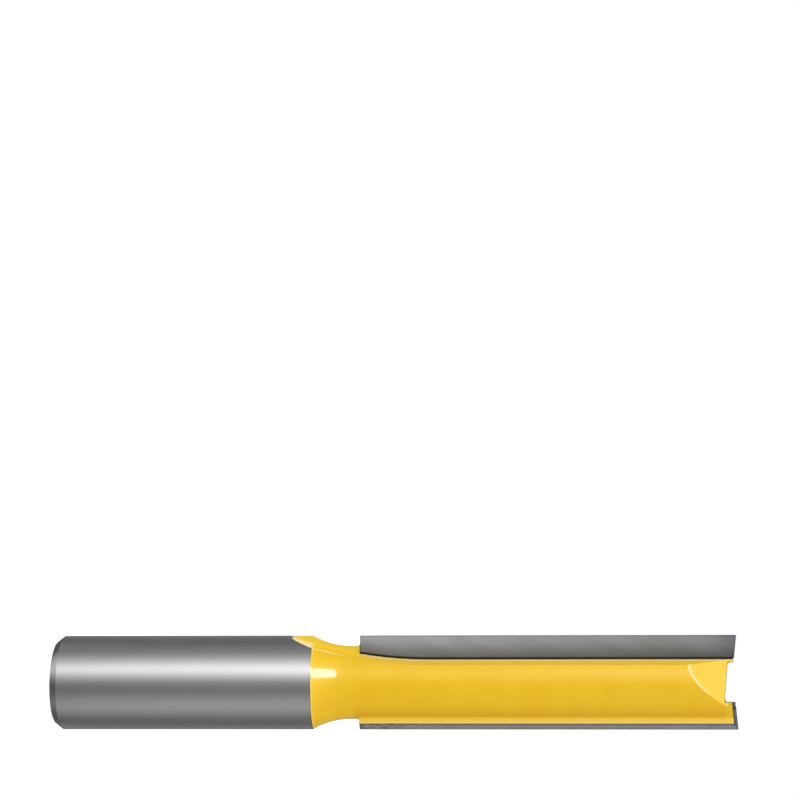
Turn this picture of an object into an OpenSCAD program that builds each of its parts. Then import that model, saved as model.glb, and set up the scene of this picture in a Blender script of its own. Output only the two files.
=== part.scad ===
// Straight router bit with two brazed carbide tips.
// Millimetres. The bit stands on the end of its shank: the origin is the centre of that end face, and +Z runs
// along the bit's axis to its cutting end. The first flute's cutting edge is at +X and its chips leave towards +Y,
// the second flute is the first one turned half a turn. Seen from the cutting end the bit cuts anticlockwise.

/* [Shank] */
// Diameter of the shank
shank_d = 12.7; // [12.5:0.1:13.5]
// Length of the shank up to the neck
shank_len = 35.2; // [30:0.1:38]
// Height of the chamfer at the shank's end
shank_chamfer_h = 1.0; // [0.4:0.1:1.5]
// Depth of that chamfer, measured from the shank's side
shank_chamfer_d = 0.8; // [0.3:0.1:1.2]

/* [Head] */
// Overall length of the bit
total_len = 92.8; // [87:0.1:110]
// Diameter of the core bar that the flutes leave between them
core_d = 9.9; // [9.4:0.1:10.2]
// Radius of the concave neck between shank and core bar
neck_r = 10.5; // [9:0.5:12]
// Diameter over the two steel wings that carry the tips
wing_d = 11.46; // [11.1:0.02:11.5]
// Thickness of a wing, from the rake face of its tip to its back
wing_t = 1.5; // [1.4:0.1:2.0]
// Fillet between a wing and the core bar
wing_fillet = 0.4; // [0.2:0.1:0.5]

/* [Carbide tips] */
// Diameter over the two cutting edges
cut_d = 12.7; // [12.5:0.1:13.2]
// Length of a cutting edge
cut_len = 51.2; // [46:0.1:51.6]
// Thickness of a tip
tip_t = 1.3; // [1.1:0.1:1.4]
// Width of a tip, from its cutting edge inwards
tip_w = 3.14; // [2.9:0.02:3.2]
// Hook angle of the rake face
hook = 9; // [7:0.5:10]
// Relief angle behind the cutting edge
relief = 29; // [24:1:30]
// Fall of the end edge from the outer corner towards the axis
end_dish = 5.5; // [3:0.5:7]
// Relief angle of the end
end_relief = 25; // [18:1:27]

/* [Gullets] */
// Distance from the cutting edge to the gullet's wall, along the rake face
gullet_w = 3.32; // [3.24:0.02:3.4]
// How far the gullet's floor lies behind the rake face
floor_drop = 0.15; // [0.1:0.05:0.25]
// Radius of the disc cutter that leaves the run-out at the gullet's shank end
runout_r = 56; // [50:1:66]
// Distance from the cutting end to where the run-out begins
runout_from_end = 41.8; // [38:0.1:43]

/* [Cutting end] */
// Width of the notch across the end of the core bar
notch_w = 5.3; // [4.8:0.1:5.5]
// Depth of the notch at the axis, below the outer corners
notch_depth = 1.7; // [1.4:0.05:1.9]
// Lean of the notch's floor, which lies deeper beside the first flute
notch_lean = 10; // [0:1:12]
// Radius in the corners of the notch
notch_corner_r = 0.5; // [0.3:0.1:0.6]
// How far an end gash reaches down the side of the core bar, below the outer corners
gash_len = 7; // [6:0.1:7.6]
// Tilt of the gash's plane away from square to the axis
gash_tilt = 58; // [55:1:61]
// Direction that the gash faces, turned from its cutting edge towards the gullet
gash_turn = 61; // [56:1:66]

/* [Hidden] */
$fn = 120;
paint_colour = [0.95, 0.77, 0.16];
carbide_colour = [0.45, 0.45, 0.46];

shank_r = shank_d / 2;
core_r = core_d / 2;
wing_r = wing_d / 2;
cut_r = cut_d / 2;
// Height at which the neck's arc runs smoothly into the core bar
neck_end = shank_len + sqrt(pow(neck_r, 2) - pow(neck_r - (shank_r - core_r), 2));
tip_start = total_len - cut_len;
runout_z = total_len - runout_from_end;
notch_floor = total_len - notch_depth;
gash_foot = total_len - gash_len;
// The bit's axis and the fillet's centre, in the frame of a cutting edge
axis_x = -cut_r * cos(hook);
axis_y = cut_r * sin(hook);
fillet_y = -wing_t - wing_fillet;
fillet_x = axis_x + sqrt(pow(core_r + wing_fillet, 2) - pow(axis_y - fillet_y, 2));
fillet_share = core_r / (core_r + wing_fillet);
// Longer than the bit is wide, for everything that only cuts
reach = 2 * cut_d;

// Frame of a cutting edge: X leaves the bit along the rake face, Y points out of that face into the gullet.
module at_edge() {
    translate([cut_r, 0, 0]) rotate([0, 0, hook]) children();
}

// Every feature of a flute is made twice, the second time half a turn round the axis.
module both_flutes() {
    for (turn = [0, 180]) rotate([0, 0, turn]) children();
}

// Shank, neck and core bar, turned in one piece
module turned_bar() {
    rotate_extrude() difference() {
        polygon([
            [0, 0],
            [shank_r - shank_chamfer_d, 0],
            [shank_r, shank_chamfer_h],
            [shank_r, neck_end],
            [core_r, neck_end],
            [core_r, total_len],
            [0, total_len]
        ]);
        translate([core_r + neck_r, neck_end]) circle(r = neck_r);
    }
}

// Outer form of the wings as turned, with a fillet where their front rises from the core bar
module wing_envelope() {
    rotate_extrude() union() {
        translate([0, tip_start]) square([wing_r, cut_len]);
        difference() {
            translate([0, tip_start - wing_fillet]) square([core_r + wing_fillet, wing_fillet]);
            translate([core_r + wing_fillet, tip_start - wing_fillet]) circle(r = wing_fillet);
        }
    }
}

// Section of one wing, in the frame of its cutting edge, with the fillet between its back and the core bar
module wing_section() {
    translate([axis_x, -wing_t]) square([-axis_x, wing_t]);
    difference() {
        polygon([
            [axis_x, axis_y],
            [fillet_x, -wing_t],
            [axis_x + (fillet_x - axis_x) * fillet_share, axis_y + (fillet_y - axis_y) * fillet_share]
        ]);
        translate([fillet_x, fillet_y]) circle(r = wing_fillet);
    }
}

module wings() {
    intersection() {
        wing_envelope();
        both_flutes() at_edge() linear_extrude(height = total_len) wing_section();
    }
}

// What a disc cutter of radius r leaves when it comes in behind the edge and travels to the cutting end.
// Its rim runs at the distance deep from the edge, and it clears everything above the level floor_y.
module disc_pass(r, deep, floor_y) {
    translate([r - deep, floor_y, runout_z]) rotate([-90, 0, 0]) cylinder(r = r, h = reach);
    translate([-deep, floor_y, runout_z]) cube([reach, reach, total_len]);
}

module gullet() {
    at_edge() disc_pass(runout_r, gullet_w, -floor_drop);
}

// The seat is open on its outer side and at both ends of the wing, and keeps a wall towards the axis.
module tip_seat() {
    at_edge() intersection() {
        disc_pass(runout_r - (gullet_w - tip_w), tip_w, -tip_t);
        translate([-reach, -reach, tip_start]) cube([2 * reach, 2 * reach, total_len]);
    }
}

// Everything beyond the ground end of one wing
module beyond_end() {
    intersection() {
        at_edge() translate([0, 0, total_len]) rotate([end_relief, -end_dish, 0])
            translate([-reach, -reach, 0]) cube([2 * reach, 2 * reach, reach]);
        translate([0, -reach, 0]) cube([reach, 2 * reach, total_len + reach]);
    }
}

// Ramp from the end of the core bar down to the gullet, no deeper than the gullet's floor
module end_gash() {
    intersection() {
        rotate([0, 0, gash_turn]) translate([core_r, 0, gash_foot]) rotate([0, gash_tilt, 0])
            translate([-reach, -reach, 0]) cube([2 * reach, 2 * reach, reach]);
        at_edge() translate([-reach, -floor_drop, 0]) cube([2 * reach, reach, total_len + reach]);
    }
}

// Centre of the round corner of the notch on the side of the first flute, 1, or of the second, -1
function corner_x(side) = side * (notch_w / 2 - notch_corner_r);
function corner_y(side) = notch_corner_r / cos(notch_lean) - corner_x(side) * tan(notch_lean);

// Notch that parts the two end edges, with a leaning floor that runs smoothly into round corners
module end_notch() {
    touch_x = -notch_corner_r * sin(notch_lean);
    touch_y = -notch_corner_r * cos(notch_lean);
    translate([0, reach, notch_floor]) rotate([90, 0, 0]) linear_extrude(height = 2 * reach) {
        polygon([
            [corner_x(-1) + touch_x, corner_y(-1) + touch_y],
            [corner_x(1) + touch_x, corner_y(1) + touch_y],
            [notch_w / 2, corner_y(1)],
            [notch_w / 2, reach],
            [-notch_w / 2, reach],
            [-notch_w / 2, corner_y(-1)]
        ]);
        for (side = [-1, 1]) translate([corner_x(side), corner_y(side)]) circle(r = notch_corner_r);
    }
}

module cutter_body() {
    color(paint_colour) difference() {
        union() {
            turned_bar();
            wings();
        }
        both_flutes() {
            gullet();
            tip_seat();
            beyond_end();
            end_gash();
        }
        end_notch();
    }
}

// One carbide tip: a plate ground to the run-out's curve, with relief behind its side edge and its end edge
module carbide_tip() {
    difference() {
        at_edge() intersection() {
            translate([0, 0, tip_start]) linear_extrude(height = cut_len) polygon([
                [0, 0],
                [-tip_w, 0],
                [-tip_w, -tip_t],
                [-tip_t * tan(hook + relief), -tip_t]
            ]);
            disc_pass(runout_r - (gullet_w - tip_w), tip_w, -tip_t);
        }
        beyond_end();
    }
}

module carbide_tip_1() {
    color(carbide_colour) carbide_tip();
}

module carbide_tip_2() {
    color(carbide_colour) rotate([0, 0, 180]) carbide_tip();
}

cutter_body();
carbide_tip_1();
carbide_tip_2();
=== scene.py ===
import math

import bpy
from mathutils import Matrix, Vector

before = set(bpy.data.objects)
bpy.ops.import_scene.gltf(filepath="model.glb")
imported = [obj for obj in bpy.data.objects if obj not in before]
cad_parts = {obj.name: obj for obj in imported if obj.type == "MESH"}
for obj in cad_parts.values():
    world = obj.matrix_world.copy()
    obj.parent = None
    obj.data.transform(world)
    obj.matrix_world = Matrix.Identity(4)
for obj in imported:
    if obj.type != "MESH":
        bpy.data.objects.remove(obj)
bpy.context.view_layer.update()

MM = 0.001

# Camera, as in the photograph
CAMERA_AT = Vector((0.0, -270.0, 60.0)) * MM
CAMERA_AIM = Vector((-38.92, 0.0, 47.10)) * MM
CAMERA_LENS = 88.21
CAMERA_SENSOR = 36.0
CAMERA_CLIP = (0.01, 20.0)
# The bit lies a trace lower in the picture at its cutting end
CAMERA_ROLL = math.radians(0.033)

# The bit's own sizes that its finish follows, in millimetres
SHANK_R = 6.35
SHANK_LEN = 35.2
CORE_R = 4.95
NECK_R = 10.5
NECK_END = SHANK_LEN + math.sqrt(NECK_R**2 - (NECK_R - (SHANK_R - CORE_R)) ** 2)
WING_R = 5.73
WING_T = 1.5
CUT_R = 6.35
TIP_T = 1.3
TIP_W = 3.14
HOOK = math.radians(9)
FLOOR_DROP = 0.15
GULLET_W = 3.32
RUNOUT_R = 56.0
END_DISH = math.radians(5.5)
END_RELIEF = math.radians(25)
NOTCH_W = 5.3
NOTCH_LEAN = math.radians(10)
GASH_TILT = math.radians(58)
GASH_TURN = math.radians(61)
# Places along the bit, counted from the end of the shank
TOTAL_LEN = 92.8
TIP_START = TOTAL_LEN - 51.2
RUNOUT_Z = TOTAL_LEN - 41.8
NOTCH_FLOOR = TOTAL_LEN - 1.7
GASH_FOOT = TOTAL_LEN - 7.0

# Limits of the finish, in millimetres. A pair gives both ends of a soft change.

# How near to a face a point counts as on it
ON_FACE = 0.05
# Depth below the turned surface at which a point counts as milled
TURNED_DEPTH = (0.02, 0.1)
MILLED_DEPTH = (0.02, 0.05)
WALL_DEPTH = (0.0, 0.03)
# The chamfer at the shank's end lies deeper than the turned surface too, but is bare
MILLED_START = (27.9, 28.0)
PAINT_FROM = 35.37
PAINT_START = (PAINT_FROM - 0.02, PAINT_FROM + 0.02)
STAIN_START = (PAINT_FROM - 0.22, PAINT_FROM - 0.14)
BARE_RIM_DEPTH = (0.18, 0.24)
BARE_RIM_END = (34.2, 35.0)
# Steel ground bare along with a tip's end: how near the end face, from where behind the tip, and to where
GROUND_END = (0.03, 0.06)
GROUND_BACK = (-TIP_T - 0.15, -TIP_T - 0.12)
GROUND_INNER_END = (GULLET_W + 0.6, GULLET_W + 0.9)
# Dark braze in the corner between a tip and the gullet's wall, drawn darker than braze as painted shade of
# that corner
BRAZE_AHEAD = (-FLOOR_DROP - 0.1, -0.04)
BRAZE_START = (TIP_START - 0.15, TIP_START - 0.05)
# Painted highlights along edges of the enamel, and painted light in the gullet's corner
LINE_W = 0.12
LINE_SOFT = 0.04
WING_OUTSIDE = (WING_R - 0.09, WING_R - 0.04)
WING_START = (TIP_START, TIP_START + 0.1)
WALL_PALE_END = (34.9, 35.7)
WALL_PALE_AHEAD = (0.2, 0.9)
NECK_EDGE = (-0.06, 0.1)
NECK_EDGE_SOFT = 0.03
NECK_EDGE_END = (36.0, 42.5)
ROOT_AHEAD = (1.0, 2.2)
ROOT_START = (TIP_START - 0.6, TIP_START + 0.9)
GASH_RIM_DEPTH = (0.02, 0.2)
GASH_RIM_SOFT = 0.06
GASH_RIM_END = (87.9, 88.8)
# Painted light on a wing's back and on the gullet's floor, painted shade on the core bar behind the wing,
# and the notch's rim
WING_BACK_AHEAD = (-WING_T - 0.06, -WING_T + 0.06)
WING_BACK_RADIUS = (CORE_R + 0.1, CORE_R + 0.3)
FOOT_START = (-3.6, -WING_T - 0.3)
FOOT_END = (-WING_T + 0.1, -WING_T + 0.3)
FOOT_RADIUS = (CORE_R + 0.03, CORE_R + 0.1)
FOOT_ALONG = (TIP_START, TOTAL_LEN - 2.3)
FOOT_SOFT = 0.8
FLOOR_END = (TIP_START - 0.1, TIP_START)
NOTCH_RIM_START = (-0.14, -0.06)
NOTCH_RIM_X = NOTCH_W / 2 + 0.1

# Colours as on screen
ENAMEL_DEEP = "F2C415"
ENAMEL_LIGHT = "F4C81D"
# Painted light on the gullet's wall, a wing's back, the gullet's floor and the gash's face, and painted
# shade on the core beside a wing's foot
ENAMEL_WALL_PAINTED_LIGHT = "FFD010"
ENAMEL_WING_BACK_PAINTED_LIGHT = "FFDA50"
ENAMEL_FOOT_PAINTED_SHADE = "E7B31B"
ENAMEL_FLOOR_PAINTED_LIGHT = "FFEC5C"
ENAMEL_GASH_PAINTED_LIGHT = "FFE468"
# Pale cream for painted highlights and painted light on the enamel
ENAMEL_PAINTED_HIGHLIGHT = "FFF0B4"
NOTCH_RIM = "8A7A3A"
# Near-black braze: a dark joint, deepened as painted shade
BRAZE_AND_SHADE = "24180A"
BRAZE_STAIN = "2E1E08"
# Reflectance of bare steel
STEEL_DARK = (0.56, 0.56, 0.565, 1)
STEEL_LIGHT = (0.63, 0.63, 0.635, 1)
STEEL_STAINED = (0.60, 0.52, 0.27, 1)
# Ground-bare steel at the ends, darkened as painted shade for the dark surroundings it mirrors
STEEL_GROUND_SHADED = (0.26, 0.25, 0.19, 1)

# Roughness of steel and enamel, and the enamel's shine, with less clear coat on the gullet's wall
STEEL_ROUGH = (0.19, 0.25)
GROUND_ROUGH = 0.42
ENAMEL_ROUGH = 0.4
ENAMEL_SPECULAR = 0.12
ENAMEL_COAT = 0.5
WALL_COAT_LESS = 0.45
COAT_ROUGH = 0.08
# Fine relief of steel and enamel: noise scales, and heights and radii of edges in millimetres
MOTTLE_SCALE = 0.35
MOTTLE_SPREAD = (0.3, 0.7)
PEEL_SCALE = 1.1
PEEL_HEIGHT = 0.004
GRIND_STRETCH = 9.0
GRIND_SCALE = 1.4
GRIND_SPREAD = (0.2, 0.8)
GRIND_HEIGHT = 0.0006
BODY_EDGE_R = 0.2


def linear(hex_colour):
    """A colour written as on screen, as the linear values that shaders take."""
    parts = [int(hex_colour[i : i + 2], 16) / 255 for i in (0, 2, 4)]
    return [c / 12.92 if c <= 0.04045 else ((c + 0.055) / 1.055) ** 2.4 for c in parts] + [1.0]


class Nodes:
    """Short way to write a node tree. A value is a number, a colour, a socket or a node."""

    def __init__(self, tree):
        self.tree = tree
        tree.nodes.clear()

    def add(self, kind, inputs=None, **settings):
        node = self.tree.nodes.new(kind)
        for name, value in settings.items():
            setattr(node, name, value)
        for key, value in (inputs or {}).items():
            self.join(value, node.inputs[key])
        return node

    def join(self, value, socket):
        if isinstance(value, bpy.types.Node):
            value = value.outputs[0]
        if isinstance(value, bpy.types.NodeSocket):
            self.tree.links.new(value, socket)
        else:
            socket.default_value = value

    def math(self, operation, *values):
        return self.add("ShaderNodeMath", dict(enumerate(values)), operation=operation)

    def total(self, *terms):
        """Sum of the products of each pair of values."""
        value = 0.0
        for a, b in terms:
            value = self.math("MULTIPLY_ADD", a, b, value)
        return value

    def rise(self, value, low, high, at_low=0.0, at_high=1.0):
        """Smooth change from at_low to at_high while value goes from low to high."""
        inputs = {"Value": value, "From Min": low, "From Max": high, "To Min": at_low, "To Max": at_high}
        return self.add("ShaderNodeMapRange", inputs, interpolation_type="SMOOTHSTEP")

    def fall(self, value, low, high):
        """1 up to low, and from there smoothly down to 0 at high."""
        return self.rise(value, low, high, 1.0, 0.0)

    def within(self, value, low, high, soft=0.02):
        """1 where value is between low and high, else 0, with soft limits."""
        return self.all_of(self.rise(value, low - soft, low), self.fall(value, high, high + soft))

    def all_of(self, *masks):
        mask = masks[0]
        for other in masks[1:]:
            mask = self.math("MULTIPLY", mask, other)
        return mask

    def any_of(self, *masks):
        mask = masks[0]
        for other in masks[1:]:
            mask = self.math("MAXIMUM", mask, other)
        return mask

    def opposite(self, mask):
        return self.math("SUBTRACT", 1.0, mask)

    def mix(self, share, a, b):
        """Colour between a and b."""
        node = self.add("ShaderNodeMix", data_type="RGBA")
        for value, socket in ((share, node.inputs[0]), (a, node.inputs[6]), (b, node.inputs[7])):
            self.join(value, socket)
        return node.outputs[2]

    def blend(self, share, a, b):
        """Number between a and b."""
        return self.add("ShaderNodeMix", {0: share, 2: a, 3: b})

    def vector(self, x=0.0, y=0.0, z=0.0):
        return self.add("ShaderNodeCombineXYZ", {0: x, 1: y, 2: z})

    def noise(self, place, scale, detail=2.0):
        inputs = {"Vector": place, "Scale": scale, "Detail": detail}
        return self.add("ShaderNodeTexNoise", inputs).outputs["Fac"]


def new_material(name):
    material = bpy.data.materials.new(name)
    material.use_nodes = True
    return material, Nodes(material.node_tree)


def make_camera():
    data = bpy.data.cameras.new("camera")
    data.lens = CAMERA_LENS
    data.sensor_width = CAMERA_SENSOR
    data.clip_start, data.clip_end = CAMERA_CLIP
    camera = bpy.data.objects.new("camera", data)
    bpy.context.scene.collection.objects.link(camera)
    back = (CAMERA_AT - CAMERA_AIM).normalized()
    up = Vector((-1, 0, CAMERA_ROLL))
    up = (up - back * up.dot(back)).normalized()
    right = up.cross(back)
    turn = Matrix((right, up, back)).transposed().to_4x4()
    camera.matrix_world = Matrix.Translation(CAMERA_AT) @ turn
    bpy.context.scene.camera = camera


# Brightness of the white surroundings where they are seen or mirrored, and where they only light
WORLD_SEEN = 1.0
WORLD_LIGHTS = 0.7
# Floor: radius in metres, grey, and brightness of its own where it is seen
FLOOR_RADIUS = 1.5
FLOOR_GREY = (0.3, 0.3, 0.3, 1)
FLOOR_GLOW = 0.85


def seen_directly(nodes):
    """1 for what the camera, mirrors and glass show, 0 for what only lights."""
    path = nodes.add("ShaderNodeLightPath")
    return nodes.any_of(*(path.outputs[f"Is {ray} Ray"] for ray in ("Camera", "Glossy", "Transmission")))


def make_world():
    world = bpy.data.worlds.new("studio")
    world.use_nodes = True
    bpy.context.scene.world = world
    nodes = Nodes(world.node_tree)
    strength = nodes.blend(seen_directly(nodes), WORLD_LIGHTS, WORLD_SEEN)
    background = nodes.add("ShaderNodeBackground", {"Color": (1, 1, 1, 1), "Strength": strength})
    nodes.add("ShaderNodeOutputWorld", {"Surface": background})


def make_floor():
    bpy.ops.mesh.primitive_circle_add(vertices=96, radius=FLOOR_RADIUS, fill_type="NGON")
    floor = bpy.context.object
    floor.name = "floor"
    material, nodes = new_material("floor_white")
    diffuse = nodes.add("ShaderNodeBsdfDiffuse", {"Color": FLOOR_GREY})
    brightness = nodes.math("MULTIPLY", seen_directly(nodes), FLOOR_GLOW)
    glow = nodes.add("ShaderNodeEmission", {"Strength": brightness})
    both = nodes.add("ShaderNodeAddShader", {0: diffuse, 1: glow})
    nodes.add("ShaderNodeOutputMaterial", {"Surface": both})
    floor.data.materials.append(material)
    floor.visible_glossy = False


def only_in_reflections(obj):
    for ray in ("camera", "diffuse", "transmission", "volume_scatter", "shadow"):
        setattr(obj, "visible_" + ray, False)


def brightness_ramp(nodes, value, low, high, stops):
    """Grey level that runs smoothly through stops, which are pairs of a value and its level."""
    peak = max(level for _, level in stops)
    share = nodes.add("ShaderNodeMapRange", {"Value": value, "From Min": low, "From Max": high})
    ramp = nodes.add("ShaderNodeValToRGB", {"Fac": share})
    ramp.color_ramp.interpolation = "B_SPLINE"
    elements = ramp.color_ramp.elements
    for at, level in stops:
        position = (at - low) / (high - low)
        # A new ramp has a stop at each end already
        there = [element for element in elements if math.isclose(element.position, position, abs_tol=0.001)]
        element = there[0] if there else elements.new(position)
        element.color = (level / peak, level / peak, level / peak, 1)
    return nodes.math("MULTIPLY", ramp, peak)


# Middle of the bit, and radius in metres of the reflector round it
BIT_MIDDLE = Vector((0, 0, 46)) * MM
TENT_R = 0.6
# Brightness round the bit, by the turn in degrees from the camera towards the picture's upper side
ROUND_STOPS = [
    (-180, 0.18), (-166, 0.26), (-150, 0.27), (-118, 0.17), (-92, 0.22), (-62, 0.60), (-38, 0.37),
    (-20, 0.22), (0, 0.30), (16, 0.80), (32, 1.72), (47, 0.98), (62, 0.54), (80, 0.30), (112, 0.16),
    (140, 0.22), (156, 0.24), (168, 0.18), (180, 0.18),
]
# Brightness below the bit, by how far a reflection leans towards the picture's upper side
BELOW_STOPS = [
    (-1.0, 0.3), (-0.6, 0.28), (-0.35, 0.27), (-0.2, 0.11), (0.0, 0.13), (0.13, 0.4), (0.27, 1.0),
    (0.42, 0.45), (0.6, 0.15), (1.0, 0.2),
]
# Heights on the reflector, as parts of its radius, between which one zone gives way to the next
BELOW_END = (-0.9, -0.68)
DIM_RING_END = (-0.5, -0.2)
ABOVE_START = (0.4, 0.75)
DIM_RING_LEVEL = 0.5
ABOVE_LEVEL = 1.1
# Where the zone below grows dim, by how far a reflection leans away from the camera
BELOW_DIM_START = (0.3, 0.55)
BELOW_DIM_LEVEL = 0.25
# Panels low behind the bit, by their turn and brightness, that the shank shows to the sides and the back
LOW_PANELS = [(-140, 0.9), (105, 0.5)]
PANEL_HALF_W = math.radians(8)
PANEL_SIDE_SOFT = math.radians(10)
PANEL_HEIGHT = (-0.46, -0.37)
PANEL_HEIGHT_SOFT = 0.07
# Dark spot for the ground ends: its direction, and the cosines of the angles at its outer and inner rim
DARK_SPOT = (0.02, 0.728, 0.685)
DARK_SPOT_RIM = (0.75, 0.92)
DARK_SPOT_LEVEL = 0.1


def make_tent():
    """Reflector all round the bit that only reflections see, with bands of light and dark."""
    bpy.ops.mesh.primitive_uv_sphere_add(segments=64, ring_count=32, radius=TENT_R, location=BIT_MIDDLE)
    tent = bpy.context.object
    tent.name = "reflector"
    material, nodes = new_material("reflector_bands")
    place = nodes.add("ShaderNodeTexCoord").outputs["Object"]
    way = nodes.add("ShaderNodeVectorMath", {0: place}, operation="NORMALIZE")
    x, y, height = nodes.add("ShaderNodeSeparateXYZ", {0: way}).outputs
    up_side = nodes.math("MULTIPLY", x, -1)
    turn = nodes.math("ARCTAN2", up_side, nodes.math("MULTIPLY", y, -1))

    around = brightness_ramp(nodes, turn, -math.pi, math.pi, [(math.radians(a), v) for a, v in ROUND_STOPS])
    around = nodes.math("MULTIPLY", around, nodes.rise(height, *DIM_RING_END, DIM_RING_LEVEL, 1.0))
    for degrees, brightness in LOW_PANELS:
        centre = math.radians(degrees)
        panel = nodes.all_of(
            nodes.within(turn, centre - PANEL_HALF_W, centre + PANEL_HALF_W, PANEL_SIDE_SOFT),
            nodes.within(height, *PANEL_HEIGHT, PANEL_HEIGHT_SOFT),
        )
        around = nodes.total((panel, brightness), (1.0, around))
    below = brightness_ramp(nodes, up_side, -1, 1, BELOW_STOPS)
    below = nodes.math("MULTIPLY", below, nodes.rise(y, *BELOW_DIM_START, 1.0, BELOW_DIM_LEVEL))

    level = nodes.blend(nodes.fall(height, *BELOW_END), around, below)
    level = nodes.blend(nodes.rise(height, *ABOVE_START), level, ABOVE_LEVEL)
    near = nodes.add("ShaderNodeVectorMath", {0: way, 1: DARK_SPOT}, operation="DOT_PRODUCT")
    near = near.outputs["Value"]
    level = nodes.math("MULTIPLY", level, nodes.rise(near, *DARK_SPOT_RIM, 1.0, DARK_SPOT_LEVEL))
    glow = nodes.add("ShaderNodeEmission", {"Strength": level})
    nodes.add("ShaderNodeOutputMaterial", {"Surface": glow})
    tent.data.materials.append(material)
    only_in_reflections(tent)


# Lights: name, turn and rise in degrees, distance, width and height in metres, power, colour
SOFTBOXES = [
    ("key", 66, 4, 0.6, 0.3, 0.5, 2.3, (1, 1, 1)),
    ("fill", -36, 4, 0.7, 0.4, 0.5, 2.9, (1.0, 0.88, 0.74)),
    ("back", 170, 35, 0.7, 0.5, 0.5, 0.8, (1, 1, 1)),
]
# Point on the neck that the card faces
CARD_AIM = Vector((0, 0, 38.1)) * MM
# Its direction in degrees, and its distance and size in metres
CARD_TURN = 27.5
CARD_RISE = 31.2
CARD_DISTANCE = 0.5
CARD_SIZE = (0.185, 0.31, 1)
CARD_STRENGTH = 26.0
CARD_COLOUR = (0.9, 0.9, 1.0, 1)


def towards(turn, rise):
    """Direction at a turn as in ROUND_STOPS and a rise above level, both in degrees."""
    turn = math.radians(turn)
    rise = math.radians(rise)
    return Vector((-math.sin(turn) * math.cos(rise), -math.cos(turn) * math.cos(rise), math.sin(rise)))


def face_bit(obj, aim, turn, rise, distance):
    """Places a lamp or card in a direction from the point aim, square to that direction."""
    away = towards(turn, rise)
    obj.location = aim + away * distance
    obj.rotation_mode = "QUATERNION"
    obj.rotation_quaternion = away.to_track_quat("Z", "Y")


def add_softbox(name, turn, rise, distance, width, height, power, colour):
    """Area light aimed at the bit's middle. Reflections show the tent and the card instead of it."""
    data = bpy.data.lights.new(name, "AREA")
    data.shape = "RECTANGLE"
    data.size = width
    data.size_y = height
    data.energy = power
    data.color = colour
    light = bpy.data.objects.new(name, data)
    bpy.context.scene.collection.objects.link(light)
    face_bit(light, BIT_MIDDLE, turn, rise, distance)
    light.visible_camera = False
    light.visible_glossy = False


def add_card():
    """Near-white card that only reflections see: the bright oblong on the neck and on rounded edges."""
    bpy.ops.mesh.primitive_plane_add(size=1)
    card = bpy.context.object
    card.name = "card"
    face_bit(card, CARD_AIM, CARD_TURN, CARD_RISE, CARD_DISTANCE)
    card.scale = CARD_SIZE
    material, nodes = new_material("card_glow")
    glow = nodes.add("ShaderNodeEmission", {"Color": CARD_COLOUR, "Strength": CARD_STRENGTH})
    nodes.add("ShaderNodeOutputMaterial", {"Surface": glow})
    card.data.materials.append(material)
    only_in_reflections(card)


class Places:
    """Where a point lies, in millimetres, along the bit and in the frame of the nearer cutting edge."""

    def __init__(self, nodes):
        place = nodes.add("ShaderNodeTexCoord").outputs["Object"]
        place = nodes.add("ShaderNodeVectorMath", {0: place, "Scale": 1 / MM}, operation="SCALE")
        self.place = place.outputs[0]
        self.x, y, self.z = nodes.add("ShaderNodeSeparateXYZ", {0: self.place}).outputs
        self.radius = nodes.math("SQRT", nodes.total((self.x, self.x), (y, y)))
        self.angle = nodes.math("ARCTAN2", y, self.x)
        side = nodes.math("SIGN", self.x)
        from_edge = nodes.math("SUBTRACT", CUT_R, nodes.math("ABSOLUTE", self.x))
        across = nodes.math("MULTIPLY", y, side)
        # Inwards from the cutting edge along the rake face, and ahead of that face, out into the gullet
        self.inward = nodes.total((from_edge, math.cos(HOOK)), (across, -math.sin(HOOK)))
        self.ahead = nodes.total((from_edge, math.sin(HOOK)), (across, math.cos(HOOK)))
        # How far the gullet's wall lies inwards of the point, and the wing's ground end beyond it
        short = nodes.math("MAXIMUM", nodes.math("SUBTRACT", RUNOUT_Z, self.z), 0.0)
        chord = self.chord(nodes, RUNOUT_R, short)
        self.to_wall = nodes.total((chord, 1.0), (1.0, GULLET_W - RUNOUT_R), (self.inward, -1.0))
        self.to_end = nodes.total(
            (self.inward, -math.tan(END_DISH)),
            (self.ahead, math.tan(END_RELIEF)),
            (1.0, TOTAL_LEN),
            (self.z, -1.0),
        )
        # Depth below the turned surface of shank, neck and core bar
        before = nodes.math("SUBTRACT", NECK_END, self.z)
        before = nodes.add("ShaderNodeClamp", {"Value": before, "Min": 0.0, "Max": NECK_END - SHANK_LEN})
        arc = self.chord(nodes, NECK_R, before)
        self.depth = nodes.total((arc, -1.0), (1.0, CORE_R + NECK_R), (self.radius, -1.0))
        # Distance out of the gash's face, in the frame of the flute that lies before or behind the axis
        front = nodes.math("SIGN", y)
        level_part = math.sin(GASH_TILT)
        normal_z = math.cos(GASH_TILT)
        self.off_gash = nodes.total(
            (nodes.math("MULTIPLY", self.x, front), level_part * math.cos(GASH_TURN)),
            (nodes.math("MULTIPLY", y, front), level_part * math.sin(GASH_TURN)),
            (self.z, normal_z),
            (1.0, -CORE_R * level_part - GASH_FOOT * normal_z),
        )

    @staticmethod
    def chord(nodes, radius, offset):
        """How high a circle of this radius stands at this offset from its centre."""
        minus = nodes.math("MULTIPLY", offset, -1.0)
        return nodes.math("SQRT", nodes.total((offset, minus), (1.0, radius**2)))


def rounded_normal(nodes, radius):
    return nodes.add("ShaderNodeBevel", {"Radius": radius * MM}, samples=12)


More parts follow.
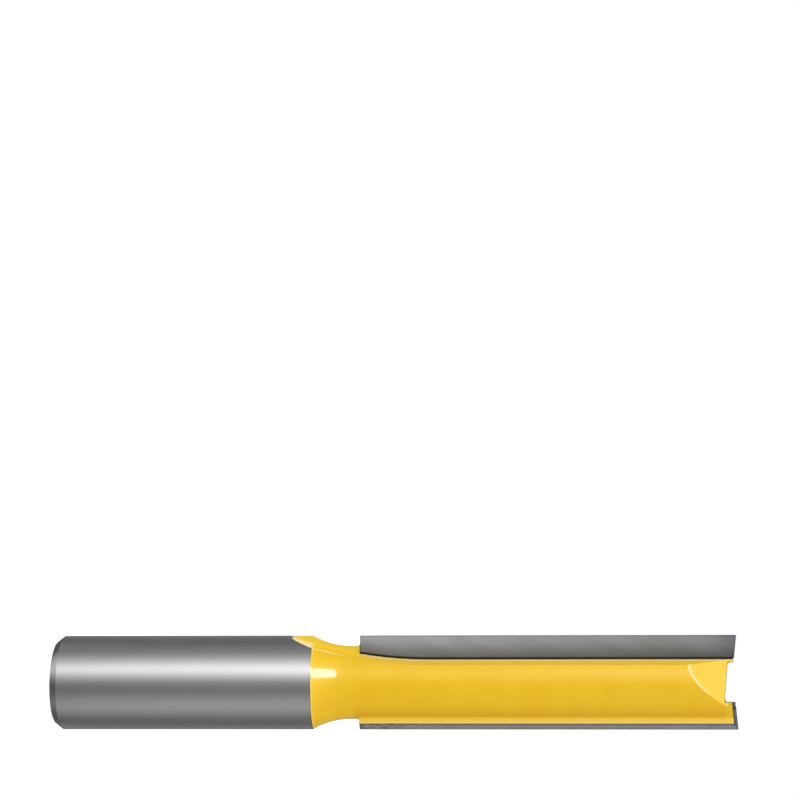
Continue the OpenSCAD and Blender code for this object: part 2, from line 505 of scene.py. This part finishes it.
class BodyMasks:
    """Which points of the steel piece are painted or ground bare, and which lie on some of its faces."""

    def __init__(self, nodes, at):
        self.turned = nodes.fall(at.depth, *TURNED_DEPTH)
        self.in_gullet = nodes.rise(at.ahead, -FLOOR_DROP - ON_FACE, -FLOOR_DROP)
        at_wall = nodes.within(at.to_wall, -ON_FACE, ON_FACE)
        self.on_wall = nodes.all_of(at_wall, self.in_gullet, nodes.rise(at.depth, *WALL_DEPTH))
        self.on_gash = nodes.within(at.off_gash, -ON_FACE, ON_FACE)
        # The end of a wing is ground after painting, together with its tip
        self.ground = nodes.all_of(
            nodes.fall(at.to_end, *GROUND_END),
            nodes.rise(at.ahead, *GROUND_BACK),
            nodes.fall(at.inward, *GROUND_INNER_END),
        )
        # Paint covers the neck and all beyond it, and the run-out that is milled into the shank.
        # There it stops a little below the edge of the gullet's wall.
        bare_rim = nodes.all_of(
            self.on_wall, nodes.fall(at.depth, *BARE_RIM_DEPTH), nodes.fall(at.z, *BARE_RIM_END))
        milled = nodes.all_of(
            nodes.rise(at.depth, *MILLED_DEPTH),
            nodes.rise(at.z, *MILLED_START),
            nodes.opposite(bare_rim),
        )
        past_line = nodes.rise(at.z, *PAINT_START)
        self.painted = nodes.all_of(nodes.any_of(past_line, milled), nodes.opposite(self.ground))


def painted_highlights(nodes, at, masks):
    """Painted highlights and painted light, drawn as paler enamel. Each row is a strength and the masks
    that limit it.
    """
    neck_edge = nodes.within(at.to_wall, *NECK_EDGE, NECK_EDGE_SOFT)
    gash_rim = nodes.within(at.depth, *GASH_RIM_DEPTH, GASH_RIM_SOFT)
    rows = (
        # Painted highlight along the paint's edge on the neck
        (0.3, masks.turned, nodes.within(at.z, PAINT_FROM, PAINT_FROM + LINE_W, LINE_SOFT)),
        # Painted highlight on the wings' outer side
        (0.9, nodes.rise(at.radius, *WING_OUTSIDE), nodes.rise(at.z, *WING_START)),
        # Painted reflection on the run-out's wall in the shank
        (1.0, masks.on_wall, nodes.fall(at.z, *WALL_PALE_END), nodes.rise(at.ahead, *WALL_PALE_AHEAD)),
        # Painted highlight along that wall's edge in the neck
        (0.8, masks.turned, masks.in_gullet, neck_edge, nodes.fall(at.z, *NECK_EDGE_END)),
        # Painted highlight and painted light in the gullet's corner
        (0.6, masks.on_wall, nodes.fall(at.ahead, *ROOT_AHEAD), nodes.rise(at.z, *ROOT_START)),
        # Painted highlight along the upper part of the gash's rim
        (0.6, masks.on_gash, gash_rim, nodes.fall(at.z, *GASH_RIM_END)),
    )
    return nodes.any_of(*(nodes.all_of(*row) for row in rows))


def enamel_colour(nodes, at, masks):
    """Slightly uneven yellow with painted light and painted shade on some faces, painted highlights along
    edges, and the dark braze beside the tips, deepened as painted shade.
    """
    mottle = nodes.noise(at.place, MOTTLE_SCALE, 3)
    enamel = nodes.mix(nodes.rise(mottle, *MOTTLE_SPREAD), linear(ENAMEL_DEEP), linear(ENAMEL_LIGHT))
    # Painted light on a wing's back
    wing_back = nodes.all_of(
        nodes.within(at.ahead, *WING_BACK_AHEAD),
        nodes.rise(at.radius, *WING_BACK_RADIUS),
    )
    # Painted shade on the core bar beside a wing's foot
    foot_painted_shade = nodes.all_of(
        masks.turned,
        nodes.rise(at.ahead, *FOOT_START),
        nodes.fall(at.ahead, *FOOT_END),
        nodes.fall(at.radius, *FOOT_RADIUS),
        nodes.within(at.z, *FOOT_ALONG, FOOT_SOFT),
    )
    # Painted light on the gullet's floor ahead of the tip
    floor = nodes.all_of(
        nodes.within(at.ahead, -FLOOR_DROP - ON_FACE, -FLOOR_DROP + ON_FACE),
        nodes.fall(at.z, *FLOOR_END),
    )
    above_notch = nodes.total((at.z, 1.0), (at.x, math.tan(NOTCH_LEAN)), (1.0, -NOTCH_FLOOR))
    notch_rim = nodes.all_of(
        nodes.rise(above_notch, *NOTCH_RIM_START),
        nodes.within(at.x, -NOTCH_RIM_X, NOTCH_RIM_X),
    )
    # Dark braze joint, deepened as painted shade in the corner
    braze = nodes.all_of(
        nodes.within(at.to_wall, 0.0, GULLET_W - TIP_W + ON_FACE),
        nodes.within(at.ahead, *BRAZE_AHEAD),
        nodes.rise(at.z, *BRAZE_START),
    )
    # Painted light on wall, wing back, floor and gash, painted shade at the foot, painted highlights, the
    # notch rim's olive, and braze deepened as painted shade
    tints_and_painted_light = (
        (1.0, masks.on_wall, ENAMEL_WALL_PAINTED_LIGHT),
        (1.0, wing_back, ENAMEL_WING_BACK_PAINTED_LIGHT),
        (1.0, foot_painted_shade, ENAMEL_FOOT_PAINTED_SHADE),
        (0.8, floor, ENAMEL_FLOOR_PAINTED_LIGHT),
        (0.25, masks.on_gash, ENAMEL_GASH_PAINTED_LIGHT),
        (1.0, painted_highlights(nodes, at, masks), ENAMEL_PAINTED_HIGHLIGHT),
        (0.7, notch_rim, NOTCH_RIM),
        (1.0, braze, BRAZE_AND_SHADE),
    )
    for strength, mask, colour in tints_and_painted_light:
        enamel = nodes.mix(nodes.math("MULTIPLY", mask, strength), enamel, linear(colour))
    return enamel


def body_normal(nodes, at, masks, stained, grind):
    """Rounded edges and orange peel under paint, fine grinding lines on steel."""
    # The stained strip shines like the shank beside it, though the neck begins under it
    lean = nodes.any_of(masks.ground, nodes.opposite(stained))
    face_normal = nodes.add("ShaderNodeNewGeometry").outputs["Normal"]
    level_normal = nodes.add(
        "ShaderNodeVectorMath", {0: face_normal, 1: nodes.vector(1.0, 1.0, lean)}, operation="MULTIPLY")
    level_normal = nodes.add("ShaderNodeVectorMath", {0: level_normal}, operation="NORMALIZE")
    sides = {0: masks.painted, 4: level_normal, 5: rounded_normal(nodes, BODY_EDGE_R)}
    normal = nodes.add("ShaderNodeMix", sides, data_type="VECTOR").outputs[1]
    peel = nodes.math("MULTIPLY", nodes.noise(at.place, PEEL_SCALE), PEEL_HEIGHT)
    height = nodes.blend(masks.painted, nodes.math("MULTIPLY", grind, GRIND_HEIGHT), peel)
    return nodes.add("ShaderNodeBump", {"Height": height, "Distance": MM, "Normal": normal})


def steel_and_paint(name):
    """Ground steel shank and yellow enamel on the head of the one steel piece."""
    material, nodes = new_material(name)
    at = Places(nodes)
    masks = BodyMasks(nodes, at)
    enamel = enamel_colour(nodes, at, masks)

    # Steel: ground round and round, stained along the paint, and drawn dark where the ends are ground bare,
    # as painted shade for the dark surroundings they mirror
    lines = nodes.vector(at.angle, 0.0, nodes.math("MULTIPLY", at.z, GRIND_STRETCH))
    grind = nodes.noise(lines, GRIND_SCALE, 4)
    stained = nodes.rise(at.z, *STAIN_START)
    steel = nodes.mix(grind, STEEL_DARK, STEEL_LIGHT)
    steel = nodes.mix(stained, steel, STEEL_STAINED)
    steel = nodes.mix(masks.ground, steel, STEEL_GROUND_SHADED)
    steel_rough = nodes.rise(grind, *GRIND_SPREAD, *STEEL_ROUGH)
    steel_rough = nodes.blend(masks.ground, steel_rough, GROUND_ROUGH)
    coat = nodes.total((masks.on_wall, -WALL_COAT_LESS), (1.0, ENAMEL_COAT))

    shader = nodes.add("ShaderNodeBsdfPrincipled", {
        "Base Color": nodes.mix(masks.painted, steel, enamel),
        "Metallic": nodes.any_of(masks.ground, nodes.opposite(masks.painted)),
        "Roughness": nodes.blend(masks.painted, steel_rough, ENAMEL_ROUGH),
        "Specular IOR Level": ENAMEL_SPECULAR,
        "Coat Weight": nodes.math("MULTIPLY", masks.painted, coat),
        "Coat Roughness": COAT_ROUGH,
        "Normal": body_normal(nodes, at, masks, stained, grind),
    })
    nodes.add("ShaderNodeOutputMaterial", {"Surface": shader})
    return material


# Ground carbide: tone, slant of the marks, and share, stretch and noise scale of broad and fine marks
TONE = 0.21
MARKS_SLANT = math.radians(24)
BROAD_SHARE = 0.10
BROAD_MARKS = (0.12, 0.8)
FINE_SHARE = 0.05
FINE_MARKS = (0.15, 6.0)
FINE_SPREAD = (0.2, 0.8)
MARKS_HEIGHT = 0.002
# Painted light and shade on the rake face: across it, along the bit, and in its last millimetres
RAKE_START = (-0.08, -0.03)
ACROSS_W = (0.1, 2.8)
ACROSS_SHADE = (0.45, 0.98)
ALONG_SHADE = (1.5, 0.8)
LAST_START = TOTAL_LEN - 5
LAST_SHADE = 0.7
# Brightness of the side behind a cutting edge, how much less the ground end has as painted shade for the
# dark it mirrors, and how much less the edges have
FLANK_SHADE = 1.1
END_PAINTED_SHADE = 0.42
EDGE_LESS = 0.3
EDGE_W = (0.1, 0.2)
END_EDGE_W = (0.08, 0.2)
FRONT_EDGE = (TIP_START + 0.08, TIP_START + 0.18)
# Dark spots on that side, which fade along the bit
SPOT_STRETCH = 1.3
SPOT_SCALE = 1.5
SPOT_SPREAD = (0.45, 0.6)
SPOT_FADE = (TIP_START + 1, TIP_START + 8)
SPOT_SHADE = (0.6, 0.12)
# Blue as a share of the tone, from one place along the bit to another, and red on the rake face. The cooler
# rake face is painted light, offsetting the yellow light that the enamel throws onto it.
BLUE_ALONG = (60, 90)
RAKE_BLUE = (1.2, 1.1)
FLANK_BLUE = (0.9, 1.08)
RAKE_RED_LESS = 0.1
# Brown from the braze, by the distance to the gullet's wall and in front of the tip's back
STAIN_AT_WALL = (GULLET_W - TIP_W + 0.08, GULLET_W - TIP_W + 0.24)
STAIN_AT_BACK = (-TIP_T + 0.02, -TIP_T + 0.3)
STAIN_AT_BACK_SHARE = 0.9
CARBIDE_METALLIC = 0.25
CARBIDE_SPECULAR = 0.3
CARBIDE_ROUGH = (0.42, 0.52)
TIP_EDGE_R = 0.06


def slanting_marks(nodes, along, aside, stretch, scale):
    return nodes.noise(nodes.vector(nodes.math("MULTIPLY", along, stretch), aside), scale, 3)


def rake_painted_shade(nodes, at):
    """Painted shade: darker towards the gullet's wall and towards the cutting end."""
    across = nodes.rise(at.to_wall, *ACROSS_W, *ACROSS_SHADE)
    along_bit = nodes.add("ShaderNodeMapRange", {
        "Value": at.z,
        "From Min": TIP_START,
        "From Max": TOTAL_LEN,
        "To Min": ALONG_SHADE[0],
        "To Max": ALONG_SHADE[1],
    })
    return nodes.all_of(across, along_bit, nodes.rise(at.z, LAST_START, TOTAL_LEN, 1.0, LAST_SHADE))


def flank_shade(nodes, at):
    """Spotted behind the side edge, and darker on the ground end as painted shade."""
    on_end = nodes.fall(at.to_end, *GROUND_END)
    place = nodes.vector(at.inward, at.ahead, nodes.math("MULTIPLY", at.z, SPOT_STRETCH))
    spots = nodes.rise(nodes.noise(place, SPOT_SCALE, 3), *SPOT_SPREAD)
    spots = nodes.math("MULTIPLY", spots, nodes.rise(at.z, *SPOT_FADE, *SPOT_SHADE))
    return nodes.total((on_end, -END_PAINTED_SHADE), (spots, -1.0), (1.0, FLANK_SHADE))


def ground_carbide(name):
    """Dull grey carbide with slanting grinding marks, dark along its edges and brown beside the braze, with
    painted light and shade on its faces.
    """
    material, nodes = new_material(name)
    at = Places(nodes)
    cos_slant = math.cos(MARKS_SLANT)
    sin_slant = math.sin(MARKS_SLANT)
    along = nodes.total((at.z, cos_slant), (at.inward, sin_slant))
    aside = nodes.total((at.z, -sin_slant), (at.inward, cos_slant), (at.ahead, 1.0))
    broad = slanting_marks(nodes, along, aside, *BROAD_MARKS)
    fine = slanting_marks(nodes, along, aside, *FINE_MARKS)
    tone = nodes.total((broad, BROAD_SHARE), (fine, FINE_SHARE), (1.0, TONE))
    on_rake = nodes.rise(at.ahead, *RAKE_START)
    edge = nodes.any_of(
        nodes.fall(at.inward, *EDGE_W),
        nodes.fall(at.to_end, *END_EDGE_W),
        nodes.fall(at.z, *FRONT_EDGE),
    )
    edge_shade = nodes.total((edge, -EDGE_LESS), (1.0, 1.0))
    shade = nodes.blend(on_rake, flank_shade(nodes, at), rake_painted_shade(nodes, at))
    tone = nodes.all_of(tone, shade, edge_shade)

    # Less red and more blue on the rake face: painted light against the yellow light bounced from the
    # enamel
    red = nodes.total((on_rake, -RAKE_RED_LESS), (1.0, 1.0))
    flank_blue = nodes.rise(at.z, *BLUE_ALONG, *FLANK_BLUE)
    rake_blue = nodes.rise(at.z, *BLUE_ALONG, *RAKE_BLUE)
    grey = nodes.add("ShaderNodeCombineColor", {
        0: nodes.math("MULTIPLY", tone, red),
        1: tone,
        2: nodes.math("MULTIPLY", tone, nodes.blend(on_rake, flank_blue, rake_blue)),
    })
    stain = nodes.any_of(
        nodes.fall(at.to_wall, *STAIN_AT_WALL),
        nodes.rise(at.ahead, *STAIN_AT_BACK, STAIN_AT_BACK_SHARE, 0.0),
    )
    bump = nodes.add("ShaderNodeBump", {
        "Height": nodes.math("MULTIPLY", fine, MARKS_HEIGHT),
        "Distance": MM,
        "Normal": rounded_normal(nodes, TIP_EDGE_R),
    })
    shader = nodes.add("ShaderNodeBsdfPrincipled", {
        "Base Color": nodes.mix(stain, grey, linear(BRAZE_STAIN)),
        "Metallic": CARBIDE_METALLIC,
        "Specular IOR Level": CARBIDE_SPECULAR,
        "Roughness": nodes.rise(fine, *FINE_SPREAD, *CARBIDE_ROUGH),
        "Normal": bump,
    })
    nodes.add("ShaderNodeOutputMaterial", {"Surface": shader})
    return material


def dress(obj, material):
    obj.data.materials.clear()
    obj.data.materials.append(material)
    for face in obj.data.polygons:
        face.material_index = 0


def main():
    bpy.context.scene.view_settings.view_transform = "Standard"
    make_camera()
    make_world()
    make_floor()
    make_tent()
    for softbox in SOFTBOXES:
        add_softbox(*softbox)
    add_card()
    dress(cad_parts["cutter_body"], steel_and_paint("body_finish"))
    carbide = ground_carbide("carbide")
    for node in ("carbide_tip_1", "carbide_tip_2"):
        dress(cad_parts[node], carbide)


main()
